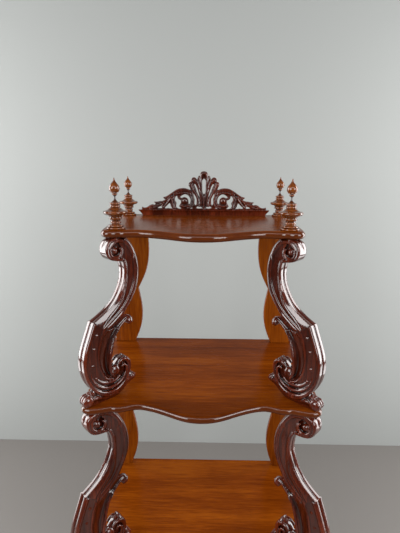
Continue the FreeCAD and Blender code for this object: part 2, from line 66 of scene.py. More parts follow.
def addCamera(s):
    turn, down, roll = (math.radians(s[name]) for name in ("turn", "down", "roll"))
    right = Vector((math.cos(turn), math.sin(turn), 0))
    ahead, up = Vector((-math.sin(turn), math.cos(turn), 0)), Vector((0, 0, 1))
    ahead, up = ahead * math.cos(down) - up * math.sin(down), up * math.cos(down) + ahead * math.sin(down)
    right, up = right * math.cos(roll) + up * math.sin(roll), up * math.cos(roll) - right * math.sin(roll)
    bpy.ops.object.camera_add(location=s["place"])
    camera = bpy.context.object
    camera.rotation_mode = "QUATERNION"
    camera.rotation_quaternion = Matrix((right, up, -ahead)).transposed().to_quaternion()
    camera.data.lens = s["lens"]
    camera.data.sensor_width = s["sensor"]
    camera.data.clip_start = s["nearest"]
    bpy.context.scene.camera = camera


addCamera(cameraSizes)
print("camera done")

# finishes


class Value:  # one socket of a finish, so that sums on it add Math nodes
    def __init__(self, owner, socket):
        self.owner, self.socket = owner, socket

    def maths(self, operation, other):
        return self.owner.node("ShaderNodeMath", {"operation": operation}, {0: self, 1: other})

    def __add__(self, other):
        return self.maths("ADD", other)

    def __sub__(self, other):
        return self.maths("SUBTRACT", other)

    def __mul__(self, other):
        return self.maths("MULTIPLY", other)

    __radd__ = __add__


class Finish:  # one material and its nodes
    def __init__(self, name):
        self.material = bpy.data.materials.new(name)
        self.material.use_nodes = True
        self.tree = self.material.node_tree
        self.tree.nodes.clear()

    def node(self, kind, settings=None, values=None, out=0):  # gives its output socket
        made = self.tree.nodes.new(kind)
        for key, setting in (settings or {}).items():
            if key == "stops":
                ramp = made.color_ramp
                while len(ramp.elements) < len(setting):
                    ramp.elements.new(0.5)
                for stop, (place, colour) in zip(ramp.elements, setting):
                    stop.position, stop.color = place, (*colour, 1)
            else:
                setattr(made, key, setting)
        for key, value in (values or {}).items():
            socket = made.inputs[key]
            if isinstance(value, Value):
                self.tree.links.new(value.socket, socket)
            elif isinstance(value, tuple) and socket.type == "RGBA" and len(value) == 3:
                socket.default_value = (*value, 1)
            else:
                socket.default_value = value
        return Value(self, made.outputs[out] if made.outputs else None)

    def noise(self, place, scale, detail=3.0, rough=0.5, warp=0.0):
        return self.node("ShaderNodeTexNoise", {}, {"Vector": place, "Scale": scale, "Detail": detail,
                                                    "Roughness": rough, "Distortion": warp})

    def band(self, value, low, high):  # 0 to 1 as the value goes from low to high
        return self.node("ShaderNodeMapRange", {"interpolation_type": "SMOOTHSTEP"},
                         {"Value": value, "From Min": low, "From Max": high})

    def mix(self, amount, one, other):
        return self.node("ShaderNodeMix", {"data_type": "RGBA"}, {0: amount, 6: one, 7: other}, out=2)

    def finish(self, colour, rough, normal=None, oneSided=False, **constants):
        shader = self.node("ShaderNodeBsdfPrincipled", {},
                           {"Base Color": colour, "Roughness": rough, **constants})
        if normal:
            self.tree.links.new(normal.socket, shader.socket.node.inputs["Normal"])
        if oneSided:  # clear from behind
            clear, back = self.node("ShaderNodeBsdfTransparent"), self.node("ShaderNodeNewGeometry", out=6)
            shader = self.node("ShaderNodeMixShader", {}, {0: back, 1: shader, 2: clear})
        self.node("ShaderNodeOutputMaterial", {}, {"Surface": shader})
        return self.material


# mahogany: dark, middle and light colours, the way the grain runs, how much painted shade darkens the hollows
# and the edge, how rough it is, and the polish: coat, its roughness (gloss) and the shine of the wood below

shelfWood = {"dark": (0.072, 0.0125, 0.0007), "middle": (0.142, 0.0275, 0.0014),
             "light": (0.235, 0.056, 0.0030), "grain": "X", "hollow": 0.0, "edge": 0.6, "rough": 0.2,
             "coat": 0.0, "gloss": 0.11, "shine": 0.05}
uprightWood = {"dark": (0.062, 0.0110, 0.0008), "middle": (0.165, 0.034, 0.0022),
               "light": (0.28, 0.070, 0.0045), "grain": "Z", "hollow": 0.0, "edge": 0.0, "rough": 0.22,
               "coat": 0.0, "gloss": 0.1, "shine": 0.2}
turnedWood = {"dark": (0.048, 0.0080, 0.0007), "middle": (0.145, 0.032, 0.0024),
              "light": (0.26, 0.070, 0.0060), "grain": "Z", "hollow": 0.97, "edge": 0.0, "rough": 0.14,
              "coat": 0.45, "gloss": 0.06, "shine": 0.5}
carvedWood = {"dark": (0.011, 0.0015, 0.0006), "middle": (0.078, 0.0108, 0.0036),
              "light": (0.165, 0.0270, 0.0080), "grain": "Z", "hollow": 0.97, "edge": 0.0, "rough": 0.15,
              "coat": 0.55, "gloss": 0.05, "shine": 0.5}

# the grain of them all: noises as (scale, detail, roughness, warp), and each one's share of the tone
woodGrain = {"stretch": 14, "figure": (1.3, 4, 0.55, 0.6), "streak": (9.0, 5, 0.62, 0.3),
             "cloud": (6.0, 3, 0.5), "fine": (24.0, 3, 0.55), "pores": (55.0, 2, 0.4),
             "poreLevels": (0.60, 0.68), "poreTint": 0.35, "figureShare": 0.40, "streakShare": 0.28,
             "cloudShare": 0.18, "fineShare": 0.24, "toneLevels": (0.34, 0.76), "uneven": 0.10,
             "poreRough": 0.08, "streakHeight": 0.6, "poreDepth": 0.5, "bump": 0.06, "bumpHeight": 0.0006,
             "density": 1.5}
# painted shade: where the rounded edge faces away from up, how dark the painted shade makes the edge and the
# hollows, and the thicker polish coat on the edge
woodShade = {"edgeLevels": (0.97, 0.80), "edgeDark": 0.8, "edgeCoat": 0.9, "hollowDark": 0.35}


def mahogany(name, s):
    wood, g = Finish(name), woodGrain
    across = g["stretch"]
    along = {"X": (1, across, across), "Z": (across, across, 1)}[s["grain"]]
    place = wood.node("ShaderNodeTexCoord", out=3)
    stretched = wood.node("ShaderNodeMapping", {}, {"Vector": place, "Scale": along})
    figure = wood.noise(stretched, *g["figure"])
    streak = wood.noise(stretched, *g["streak"])
    cloud = wood.noise(place, *g["cloud"])
    pores = wood.band(wood.noise(stretched, *g["pores"]), *g["poreLevels"])
    fine = wood.noise(stretched, *g["fine"])
    tone = wood.band(figure * g["figureShare"] + streak * g["streakShare"] + cloud * g["cloudShare"]
                     + fine * g["fineShare"], *g["toneLevels"])
    stops = [(0.0, s["dark"]), (0.5, s["middle"]), (1.0, s["light"])]
    colour = wood.node("ShaderNodeValToRGB", {"stops": stops}, {"Fac": tone})
    colour = wood.mix(pores * g["poreTint"], colour, s["dark"])
    coat = s["coat"]
    if s["edge"]:  # the rounded edge, by the way it faces
        facing = wood.node("ShaderNodeTexCoord", out=1)
        up = wood.node("ShaderNodeSeparateXYZ", {}, {"Vector": facing}, out=2)
        edge = wood.band(up, *woodShade["edgeLevels"])
        # painted shade: the edge is coloured darker where it faces away from up, and below it gets a thicker
        # polish coat
        colour = wood.mix(edge * s["edge"], colour, tuple(woodShade["edgeDark"] * c for c in s["dark"]))
        coat = edge * woodShade["edgeCoat"]
    # painted shade: the colour is darker in the hollows marked on the mesh
    if s["hollow"]:
        hollow = wood.node("ShaderNodeAttribute", {"attribute_name": "hollow"}, out=2)
        colour = wood.mix(hollow * s["hollow"], colour, tuple(woodShade["hollowDark"] * c for c in s["dark"]))
    rough = s["rough"] + cloud * g["uneven"] - g["uneven"] / 2 + pores * g["poreRough"]
    height = streak * g["streakHeight"] - pores * g["poreDepth"]
    bump = wood.node("ShaderNodeBump", {},
                     {"Height": height, "Strength": g["bump"], "Distance": g["bumpHeight"]})
    return wood.finish(colour, rough, bump, **{"Coat Weight": coat, "Coat Roughness": s["gloss"],
                                               "IOR": g["density"], "Specular IOR Level": s["shine"]})


birchWood = {"dark": (0.62, 0.42, 0.22), "light": (0.78, 0.60, 0.38), "stretch": (60, 60, 6),
             "grain": (6.0, 4), "rough": 0.5, "uneven": 0.1}


def birch(name, s):
    wood = Finish(name)
    place = wood.node("ShaderNodeTexCoord", out=3)
    stretched = wood.node("ShaderNodeMapping", {}, {"Vector": place, "Scale": s["stretch"]})
    grain = wood.noise(stretched, *s["grain"])
    return wood.finish(wood.mix(grain, s["dark"], s["light"]), s["rough"] + grain * s["uneven"])


shelfFinish = mahogany("shelf_mahogany", shelfWood)
uprightFinish = mahogany("upright_mahogany", uprightWood)
turnedFinish = mahogany("finial_mahogany", turnedWood)
carvedFinish = mahogany("carved_mahogany", carvedWood)
dowelFinish = birch("dowel_birch", birchWood)
print("finishes done")

# helpers for the pieces: places in mm, u and w in the board's plane and v across it, and angles in degrees

ribSizes = {"steps": 3, "fullness": 1.25}
# how the hollows are marked for painted shade
shadeMarks = {"share": 0.5, "level": 0.25}  # what each reach adds at most, and the mark of level wood


def smoothRun(points, step=1.5):  # natural spline through the points, by chord length
    p = np.array(points, float)
    d = np.r_[0, np.cumsum(np.linalg.norm(np.diff(p[:, :2], axis=0), axis=1))]
    count = len(d)
    a, b = np.eye(count), np.zeros((count, p.shape[1]))
    for i in range(1, count - 1):
        before, after = d[i] - d[i - 1], d[i + 1] - d[i]
        a[i, i - 1:i + 2] = before, 2 * (before + after), after
        b[i] = 6 * ((p[i + 1] - p[i]) / after - (p[i] - p[i - 1]) / before)
    curve = np.linalg.solve(a, b)
    out = []
    for t in np.linspace(0, d[-1], max(2, int(d[-1] / step) + 1)):
        i = min(np.searchsorted(d, t, side="right") - 1, count - 2)
        h, left, right = d[i + 1] - d[i], d[i + 1] - t, t - d[i]
        out.append((curve[i] * left ** 3 + curve[i + 1] * right ** 3) / (6 * h)
                   + (p[i] / h - curve[i] * h / 6) * left + (p[i + 1] / h - curve[i + 1] * h / 6) * right)
    return out


def closedOutline(runs, step=1.5):
    out = []
    for run in runs:
        out += list(smoothRun(run, step) if len(run) > 2 else run)[:-1]
    return [tuple(point[:2]) for point in out]


def arcRun(run, count=8):  # points on the arc through three points
    a, b, c = (complex(*point) for point in run)
    share = (c - a) / (b - a)
    middle = (b - a) * (share - abs(share) ** 2) / (2j * share.imag) + a
    sweep = cmath.phase((b - middle) / (a - middle)) + cmath.phase((c - middle) / (b - middle))
    places = [middle + (a - middle) * cmath.exp(1j * sweep * i / count) for i in range(count + 1)]
    return [(place.real, place.imag) for place in places]


def titled(*words):
    return "".join(word.capitalize() for word in words)


def edit(*operators):  # runs them in edit mode on the whole piece
    bpy.ops.object.mode_set(mode="EDIT")
    bpy.ops.mesh.select_all(action="SELECT")
    for operator in operators:
        operator()
    bpy.ops.object.mode_set(mode="OBJECT")


def sawnBoard(outline, thickness, middle=0.0):  # a flat board in the XZ plane, sizes in mm
    bpy.ops.mesh.primitive_circle_add(vertices=len(outline), fill_type="NGON")
    board = bpy.context.object
    for vertex, (u, w) in zip(board.data.vertices, outline):
        vertex.co = (u * mm, (middle - thickness / 2) * mm, w * mm)
    forward = {"value": (0, thickness * mm, 0)}
    edit(lambda: bpy.ops.mesh.extrude_region_move(TRANSFORM_OT_translate=forward),
         lambda: bpy.ops.mesh.select_all(action="SELECT"),
         bpy.ops.mesh.normals_make_consistent)
    return board


def openwork(outline, holes, thickness, middle):  # a pierced board in the XZ plane, sizes in mm
    data = bpy.data.curves.new("openwork", "CURVE")
    data.dimensions, data.fill_mode, data.extrude = "2D", "BOTH", thickness / 2 * mm
    for ring in [outline] + holes:
        spline = data.splines.new("POLY")
        spline.points.add(len(ring) - 1)
        spline.use_cyclic_u = True
        for point, (u, w) in zip(spline.points, ring):
            point.co = (u * mm, w * mm, 0, 1)
    board = bpy.data.objects.new("openwork", data)
    bpy.context.collection.objects.link(board)
    board.rotation_euler.x, board.location.y = math.radians(90), middle * mm
    pick(board)
    bpy.ops.object.convert(target="MESH")
    bpy.ops.object.transform_apply()
    edit(lambda: bpy.ops.mesh.remove_doubles(threshold=touching))
    return bpy.context.object


def lathe(runs, level, s):  # turns a half section of (radius, height) runs about Z
    points = []
    for run in runs:
        if len(run) == 3:
            run = arcRun(run)
        elif len(run) > 3:
            run = [tuple(p) for p in smoothRun(run)]
        points += run
    points = [point for point, last in zip(points, [None] + points) if point != last]
    bpy.ops.mesh.primitive_circle_add(vertices=len(points) + 1)
    piece = bpy.context.object
    edit(lambda: bpy.ops.mesh.select_all(action="DESELECT"))
    piece.data.vertices[len(points)].select = True
    bpy.ops.object.mode_set(mode="EDIT")
    bpy.ops.mesh.delete(type="VERT")
    bpy.ops.object.mode_set(mode="OBJECT")
    for vertex, (radius, height) in zip(piece.data.vertices, points):
        vertex.co = (radius * mm, 0, (height + level) * mm)
    modify(piece, "SCREW", steps=s["steps"], render_steps=s["steps"], use_merge_vertices=True,
           merge_threshold=touching)
    edit(bpy.ops.mesh.normals_make_consistent)
    bpy.ops.object.shade_smooth_by_angle(angle=math.radians(s["smooth"]))
    return piece


# ribs along paths of (u, w, radius, v), round, or of a (half width, depth) section fuller than an oval
def ribs(paths, section=None):
    data = bpy.data.curves.new("ribs", "CURVE")
    data.dimensions, data.use_fill_caps = "3D", True
    data.bevel_depth, data.bevel_resolution = mm, ribSizes["steps"]
    for path in paths:
        spline = data.splines.new("POLY")
        spline.points.add(len(path) - 1)
        for point, (u, w, radius, v) in zip(spline.points, path):
            point.co, point.radius = (u * mm, v * mm, w * mm, 1), radius
    if section:
        bpy.ops.curve.primitive_bezier_circle_add(radius=mm)
        data.bevel_mode, data.bevel_object = "OBJECT", bpy.context.object
        for point in data.bevel_object.data.splines[0].bezier_points:
            for side in ("co", "handle_left", "handle_right"):
                place = getattr(point, side)
                setattr(point, side, (place.x * section[0], place.y * section[1], 0))
            point.handle_left = point.co + (point.handle_left - point.co) * ribSizes["fullness"]
            point.handle_right = point.co + (point.handle_right - point.co) * ribSizes["fullness"]
    made = bpy.data.objects.new("ribs", data)
    bpy.context.collection.objects.link(made)
    pick(made)
    bpy.ops.object.convert(target="MESH")
    if section:
        bpy.data.objects.remove(data.bevel_object)
    return bpy.context.object


def button(u, w, v, radius, flat):  # a rounded boss, flattened to this share
    bpy.ops.mesh.primitive_uv_sphere_add(radius=radius * mm, location=(u * mm, v * mm, w * mm),
                                         segments=32, ring_count=16, scale=(1, flat, 1))
    return bpy.context.object


def pick(*pieces):
    bpy.ops.object.select_all(action="DESELECT")
    for piece in pieces:
        piece.select_set(True)
    bpy.context.view_layer.objects.active = pieces[-1]


def modify(piece, kind, **settings):
    pick(piece)
    bpy.ops.object.modifier_add(type=kind)
    modifier = piece.modifiers[-1]
    for key, value in settings.items():
        setattr(modifier, key, value)
    bpy.ops.object.modifier_apply(modifier=modifier.name)


def carve(parts, grain, smoothing):  # joins the parts, fuses them into one skin and rubs it smooth
    pick(*parts)
    bpy.ops.object.join()
    piece = bpy.context.object
    bpy.ops.object.transform_apply()
    modify(piece, "REMESH", mode="VOXEL", voxel_size=grain * mm)
    modify(piece, "SMOOTH", factor=0.5, iterations=smoothing)
    return piece


def vertexPlaces(piece):
    places = np.empty(len(piece.data.vertices) * 3)
    piece.data.vertices.foreach_get("co", places)
    return places.reshape(-1, 3)


# marks how far each place lies below the wood round it, by reaches of (steps, depth in mm), for the painted
# shade that the finish puts in the hollows
def markShadeInHollows(piece, reaches):
    data = piece.data
    edges = np.empty(len(data.edges) * 2, int)
    data.edges.foreach_get("vertices", edges)
    one, other = edges.reshape(-1, 2).T
    places = vertexPlaces(piece)
    normals = np.array([vertex.normal for vertex in data.vertices])
    count = len(places)
    degree = np.bincount(np.r_[one, other], minlength=count)
    hollow = np.zeros(count)
    for reach, depth in reaches:
        soft = places.copy()
        for _ in range(reach):
            for axis in range(3):
                column = soft[:, axis]
                total = np.bincount(one, column[other], count) + np.bincount(other, column[one], count)
                soft[:, axis] = total / degree
        below = ((soft - places) * normals).sum(axis=1) / mm
        hollow += np.clip(below / depth, -1, 1) * shadeMarks["share"]
    marked = data.attributes.new("hollow", "FLOAT", "POINT")
    marked.data.foreach_set("value", np.clip(hollow + shadeMarks["level"], 0, 1).astype(np.float32))


def dress(piece, name, finish, slot, *stands):  # stands are the CAD nodes that it replaces
    piece.name = piece.data.name = name
    piece.data.materials.clear()
    piece.data.materials.append(finish)
    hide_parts(*stands)
    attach(piece, "root")


def ownCopy(node, s):  # a copy of a CAD node with its loose triangles merged
    copy = node.copy()
    copy.data = node.data.copy()
    bpy.context.collection.objects.link(copy)
    pick(copy)
    bpy.ops.object.parent_clear(type="CLEAR_KEEP_TRANSFORM")
    bpy.ops.object.transform_apply()
    edit(lambda: bpy.ops.mesh.remove_doubles(threshold=s["joined"]),
         lambda: bpy.ops.mesh.dissolve_limited(angle_limit=math.radians(s["flat"])))
    bpy.ops.object.shade_smooth_by_angle(angle=math.radians(s["smooth"]))
    return copy


# shelves: half widths (rear, side, crease, hollow) and depths forward from the back plane, in mm

shelfSizes = {
    "top": {"rear": 224, "side": 208, "front": 320, "crease": 166, "hollow": 138, "sweep": 312, "bow": 365},
    "second": {"rear": 264, "side": 256, "front": 368, "crease": 190, "hollow": 140, "sweep": 348, "bow": 393},
    "third": {"rear": 300, "side": 292, "front": 403, "crease": 222, "hollow": 160, "sweep": 381, "bow": 428},
    "bottom": {"rear": 336, "side": 330, "front": 442, "crease": 256, "hollow": 184, "sweep": 418, "bow": 466}}
levels = {"top": 1388, "second": 1020, "third": 601, "bottom": 150}

# the edge: its lobed corners and waved front as shares, a corner's in lobes and the front's in its own depth
shelfEdge = {"thickness": 16, "lobe": 20, "crease": 4, "segments": 12, "back": 233, "round": 0.496,
             "step": 3.0, "smooth": 35, "flankBow": 2, "corner": ((0, 1.3), (0.3, 0.35), (1.2, 0)),
             "creaseLength": 9, "wave": ((0.77, 0.12), (0.5, 0.5), (0.24, 0.88))}


def mirrored(points):
    return [(-x, other) for x, other in points]


def makeShelf(level, plan, s):
    rear, side, front, crease, hollow, sweep, bow = plan.values()
    lobe, nick = s["lobe"], (2 * front + sweep) / 3 - s["crease"]
    corner = [(side - lobe * x, front - lobe * depth) for x, depth in s["corner"]]
    flank = [(rear, 0), ((rear + side) / 2 - s["flankBow"], front * 0.5), *corner,
             ((corner[-1][0] + crease) / 2, front - s["crease"]), (crease, nick)]
    run = [(crease, nick), (crease - s["creaseLength"], nick + s["crease"] * 0.5), (hollow, sweep)]
    run += [(hollow * x, sweep + (bow - sweep) * depth) for x, depth in s["wave"]] + [(0, bow)]
    run += mirrored(run[-2::-1])
    outline = closedOutline([flank, run, mirrored(flank[::-1]), [(-rear, 0), (rear, 0)]], s["step"])
    bpy.ops.mesh.primitive_circle_add(vertices=len(outline), fill_type="NGON")
    shelf = bpy.context.object
    low = (level - s["thickness"]) * mm
    for vertex, (x, depth) in zip(shelf.data.vertices, outline):
        vertex.co = (x * mm, (s["back"] - depth) * mm, low)
    up = {"value": (0, 0, s["thickness"] * mm)}
    edit(lambda: bpy.ops.mesh.extrude_region_move(TRANSFORM_OT_translate=up),
         lambda: bpy.ops.mesh.select_all(action="SELECT"),
         bpy.ops.mesh.normals_make_consistent)
    back = s["back"] * mm - 10 * touching
    for edge in shelf.data.edges:  # all the level edges but the back ones
        ends = [shelf.data.vertices[i].co for i in edge.vertices]
        edge.select = abs(ends[0].z - ends[1].z) < touching and min(ends[0].y, ends[1].y) < back
    for face in shelf.data.polygons:
        face.select = False
    bpy.context.tool_settings.mesh_select_mode = (False, True, False)
    bpy.ops.object.mode_set(mode="EDIT")
    bpy.ops.mesh.bevel(offset=s["thickness"] * s["round"] * mm, segments=s["segments"], affect="EDGES",
                       clamp_overlap=False)
    bpy.ops.object.mode_set(mode="OBJECT")
    bpy.context.tool_settings.mesh_select_mode = (True, False, False)
    bpy.ops.object.shade_smooth_by_angle(angle=math.radians(s["smooth"]))
    return shelf


for name, level in levels.items():
    dress(makeShelf(level, shelfSizes[name], shelfEdge), titled("shelf", name), shelfFinish,
          "shelf_mahogany", "shelf_" + name)
print("shelves done")

# rear uprights: the outer edge as (share of the height, swell), the inner one as (share, x in the upper bay)

uprightSizes = {"thickness": 14, "setback": 9, "inset": 11, "swell": 5, "bay": 352, "arris": 1.3, "step": 3.0,
                "corner": 50, "smooth": 32,
                "outer": ((1.0, 0), (0.745, 1), (0.455, 0), (0.21, 1), (0.0, 0))}
innerLobes = [[(1.0, 160), (0.90, 154), (0.745, 152), (0.60, 161), (0.455, 184)],
              [(0.455, 184), (0.33, 176), (0.21, 175), (0.09, 184), (0.0, 197)]]
bays = {"upper": ("top", "second", 352), "middle": ("second", "third", 403),
        "lower": ("third", "bottom", 435)}


def makeUpright(side, tier, s):
    above, below, bay = bays[tier]
    scale, top, foot = bay / s["bay"], shelfSizes[above]["rear"], shelfSizes[below]["rear"]
    first, second = shelfSizes["top"]["rear"], shelfSizes["second"]["rear"]
    runs = [[(foot + (top - foot) * share - (second + (first - second) * share - x) * scale, share * bay)
             for share, x in lobe] for lobe in innerLobes]
    runs.append([(foot + (top - foot) * share - s["inset"] + s["swell"] * scale * swell, share * bay)
                 for share, swell in s["outer"][::-1]])
    runs = runs[:2] + [[runs[1][-1], runs[2][0]], runs[2], [runs[2][-1], runs[0][0]]]
    outline = closedOutline(runs, s["step"])
    flip = -1 if side == "left" else 1
    board = sawnBoard([(flip * x, z + levels[below]) for x, z in outline], s["thickness"],
                      shelfEdge["back"] - s["setback"] - s["thickness"] / 2)
    modify(board, "BEVEL", width=s["arris"] * mm, segments=3, limit_method="ANGLE",
           angle_limit=math.radians(s["corner"]))
    bpy.ops.object.shade_smooth_by_angle(angle=math.radians(s["smooth"]))
    return board


for side in ("left", "right"):
    for tier in bays:
        dress(makeUpright(side, tier, uprightSizes), titled("upright", side, tier), uprightFinish,
              "upright_mahogany", f"rear_upright_{side}_{tier}")
print("uprights done")

# turned finials and feet: half sections from the bottom up, for a finial 102.6 and a foot 134 high

finialRuns = [
    [(17.5, 0), (19.8, 2.1), (17.4, 4.2)], [(14.4, 4.6), (15.9, 6.8), (13.4, 8.8)],
    [(13.4, 8.8), (10.8, 9.8), (9.6, 11.2)], [(9.6, 11.2), (11.1, 13.6), (9.8, 16.0)],
    [(9.4, 17.2), (10.9, 19.3), (13.8, 20.4)], [(13.8, 21.4), (12.4, 23.6), (13.8, 26.2)],
    [(13.8, 26.2), (15.4, 28.3), (17.6, 29.6)], [(17.6, 29.6), (22.8, 30.6), (24.6, 33.8)],
    [(24.6, 33.8), (23.9, 35.8), (21.6, 37.0)], [(21.6, 37.0), (15.8, 39.0), (11.6, 42.4)],
    [(9.0, 42.8), (10.7, 45.8), (9.2, 48.6)], [(9.8, 49.2), (11.1, 51.4), (9.6, 53.6)],
    [(9.6, 53.6), (4.4, 56.4), (2.0, 61.0)], [(2.0, 61.0), (2.0, 66.0)],
    [(4.4, 67.8), (5.4, 70.0), (4.6, 72.4)], [(8.4, 73.2), (8.0, 74.2)],
    [(8.0, 74.2), (9.8, 77.0), (10.6, 81.0), (9.9, 85.0), (7.6, 89.0), (4.9, 92.4), (2.6, 96.2),
     (1.2, 100.4)], [(1.2, 100.4), (0, 102.6)]]
footRuns = [
    [(13.5, 0), (17.8, 8.8), (13.0, 18.0)], [(12.2, 19.4), (12.0, 23.0), (13.2, 27.0)],
    [(15.0, 28.0), (16.0, 30.0), (15.0, 32.0)], [(15.0, 32.0), (23.4, 52.0), (27.0, 71.0)],
    [(27.0, 71.0), (24.4, 86.8), (16.8, 100.0)], [(16.8, 100.0), (15.0, 102.8), (14.6, 106.0)],
    [(17.4, 107.4), (21.4, 111.3), (17.4, 115.2)], [(15.8, 117.0), (16.8, 119.4), (19.4, 121.0)],
    [(24.0, 121.8), (26.4, 123.2), (27.0, 126.0)], [(27.0, 126.0), (27.0, 134.0)]]

# where each stands: x, depth, level, and the length and radius of its spigot
turnings = {"finial_front": (177.5, 292, 1388, 34, 5), "finial_rear": (202, 25, 1388, 10, 5),
            "foot_front": (279.8, 394.3, 0, 34, 6), "foot_rear": (292, 40, 0, 10, 6)}
turningSizes = {"steps": 72, "smooth": 38, "hollows": ((4, 0.5), (16, 2.0))}


def makeTurning(name, side):  # with the round spigot that holds it
    x, depth, level, spigot, radius = turnings[name]
    if name.startswith("finial"):
        runs = [[(0, -spigot), (radius, -spigot)], [(radius, 0), finialRuns[0][0]]] + finialRuns
    else:
        top = footRuns[-1][-1][1]
        runs = [[(0, 0), footRuns[0][0]]] + footRuns
        runs += [[(radius, top), (radius, top + spigot)], [(0, top + spigot)] * 2]
    piece = lathe(runs, level, turningSizes)
    # marks the grooves for painted shade
    markShadeInHollows(piece, turningSizes["hollows"])
    x = -x if side == "left" else x
    bpy.ops.transform.translate(value=(x * mm, (shelfEdge["back"] - depth) * mm, 0))
    bpy.ops.object.transform_apply()
    return piece


for side in ("left", "right"):
    for name in turnings:
        kind, place = name.split("_")
        dress(makeTurning(name, side), titled(kind, place, side), turnedFinish, kind + "_mahogany",
              f"{name}_{side}")
print("turnings done")

# crest: its eyes as (x, z, radius, flatness), its middle bar and its pegs as (z, radius) from end to end
# at each peg's x, and how much fuller its carved lines are than drawn

crestSizes = {"level": 1403, "middle": 217, "thickness": 12, "core": 7.4, "grain": 0.8, "smoothing": 1,
              "eye": (51.6, 22.5, 8.4, 0.62), "bar": ((36, 3.2), (7, 3.2)),
              "pegs": (-80.5, 0, 80.5), "peg": ((-1.2, 4.4), (11, 4.2), (13, 2.5)),
              "petalSwell": 1.18, "lineSwell": 1.08, "hollows": ((6, 0.5), (40, 2.4))}

# the right half of the pierced board, x from the middle and z above the rail
fretRuns = [
    [(168, 0), (168, 6.5)],
    [(168, 6.5), (161, 4.5), (154, 6), (146.4, 10.9), (138, 13.3), (132.5, 12)],
    [(132.5, 12), (131.2, 15.5), (135.2, 20.8)],
    [(135.2, 20.8), (126.3, 20.6), (116.9, 22.4), (110, 22.8), (104.8, 24.3)],
    [(104.8, 24.3), (106, 28), (110.8, 32.6)],
    [(110.8, 32.6), (102.8, 34.6), (93.4, 40), (81.7, 48.3), (70, 54.6), (58.5, 57), (46.9, 56), (36.3, 52)],
    [(36.3, 52), (37.5, 58), (40.5, 62.5), (41.2, 68.5), (38, 73), (33.6, 73.2)],
    [(33.6, 73.2), (34.2, 79), (30.8, 84), (25.6, 85.2), (21.4, 82.6), (18.7, 78.6)],
    [(18.7, 78.6), (17.6, 83), (16, 87), (13.6, 89.5), (10.7, 88)],
    [(10.7, 88), (9.8, 95.5), (5.6, 99.8), (0, 101)]]
slotMiddle = [(0, 82), (3.6, 78.6), (4.8, 71.3), (4.2, 57.8), (3, 45.3), (0, 40.7)]
fretGaps = [
    [(26.3, 66.8), (23.6, 67.6), (18.6, 59.9), (13.3, 47.5), (9.8, 36.1), (10.7, 32.4), (13, 34.9),
     (19.1, 49.7)],
    [(30.1, 45.1), (25.2, 40.5), (20.4, 31.4), (19.6, 22.2), (22.5, 11.8), (24.8, 15.3), (24.6, 24.5),
     (26.9, 34.8)],
    [(64.4, 32.8), (58.6, 37.5), (50.4, 40.4), (42.3, 37), (37.1, 29), (36.5, 19.8), (39.4, 14), (41.2, 18.6),
     (42.3, 26.7), (47, 31.2), (53.9, 33.2), (59.8, 31.1)],
    [(72.5, 37.4), (76, 33.3), (77.5, 24.1), (73.8, 17.2), (75.1, 10.3), (70.4, 3), (61.5, 3), (66.9, 8),
     (63.9, 15), (62.7, 24.2), (69, 27.6), (71.5, 32.2)],
    [(93.1, 17.1), (99.6, 10.1), (106, 3.4), (96.2, 3), (86.5, 3.2), (89.1, 7.9), (90.8, 13.7)],
    [(127, 4.8), (121, 6.4), (114.8, 7.6), (112.6, 5.4), (115.4, 3.4), (122, 3.2)],
    [(20.8, 4.4), (17.6, 7.6), (12.8, 9), (8.2, 7.4), (5.4, 4.4), (8, 3.2), (12.8, 2.8), (17.8, 3.2)],
    [(38, 3.6), (34.2, 5.2), (30.4, 3.6), (34, 2.5)]]

# carved lines (x, z, radius): the petals, the scroll band with its root and hook, and the leaves
petals = [
    [(0, 95.6, 4.4), (4.2, 93.4, 4.0), (7.0, 86.4, 3.0), (7.7, 75.1, 2.2), (6.7, 61.6, 1.9), (6.2, 48.0, 1.9),
     (5.7, 36.6, 1.8), (6.5, 22.8, 1.8), (7.9, 9.0, 1.6)],
    [(13.6, 85.6, 2.6), (12.9, 80.7, 2.6), (10.9, 70.6, 2.2), (9.0, 58.2, 2.0), (8.0, 45.7, 2.0),
     (8.4, 29.7, 2.0), (9.7, 15.9, 1.8), (10.8, 6.6, 1.6)],
    [(26.7, 79.0, 5.0), (21.7, 71.7, 3.6), (16.3, 60.4, 2.8), (12.8, 49.1, 2.4), (10.0, 36.6, 2.0),
     (10.9, 22.8, 1.8)],
    [(19.2, 76.3, 2.2), (15.2, 66.1, 1.8), (12.2, 55.9, 1.6)],
    [(35.7, 68.0, 4.0), (32.8, 60.3, 3.4), (27.2, 50.1, 3.0), (20.3, 38.8, 2.8), (15.8, 27.4, 2.6),
     (13.8, 15.9, 2.2), (13.7, 7.8, 1.8)],
    [(31.8, 53.6, 1.8), (25.4, 43.3, 1.8), (18.6, 30.8, 1.8), (17.2, 20.4, 1.6), (19.0, 11.2, 1.6)]]
band = [
    [(100.5, 32.4, 1.6), (91.1, 38.4, 2.2), (80.6, 45.2, 2.6), (69.5, 51.6, 2.8), (58.5, 53.9, 2.8),
     (47.5, 52.8, 2.8), (38.2, 48.9, 2.6), (31.3, 42.1, 2.6), (28.9, 31.9, 2.4), (27.6, 20.4, 2.4),
     (29.0, 11.1, 2.4), (36.5, 5.9, 2.2), (44.7, 3.5, 2.2)],
    [(81.8, 39.5, 1.8), (70.1, 47.0, 2.4), (58.5, 50.2, 2.6), (48.1, 49.4, 2.6), (40.0, 45.5, 2.2),
     (34.8, 38.7, 1.6)],
    [(74.5, 40.9, 1.6), (63.2, 42.9, 2.2), (52.7, 44.1, 2.4), (43.5, 42.3, 2.4), (36.5, 36.0, 2.4),
     (33.6, 27.2, 2.2), (33.2, 18.0, 2.2), (36.7, 11.1, 2.2), (44.7, 7.9, 2.0)],
    [(61.0, 10.6, 2.4), (54.0, 7.7, 2.8), (45.9, 8.8, 2.6), (40.8, 13.2, 2.0)],
    [(69.9, 30.6, 1.6), (65.6, 29.3, 1.8), (60.3, 28.8, 2.0)]]
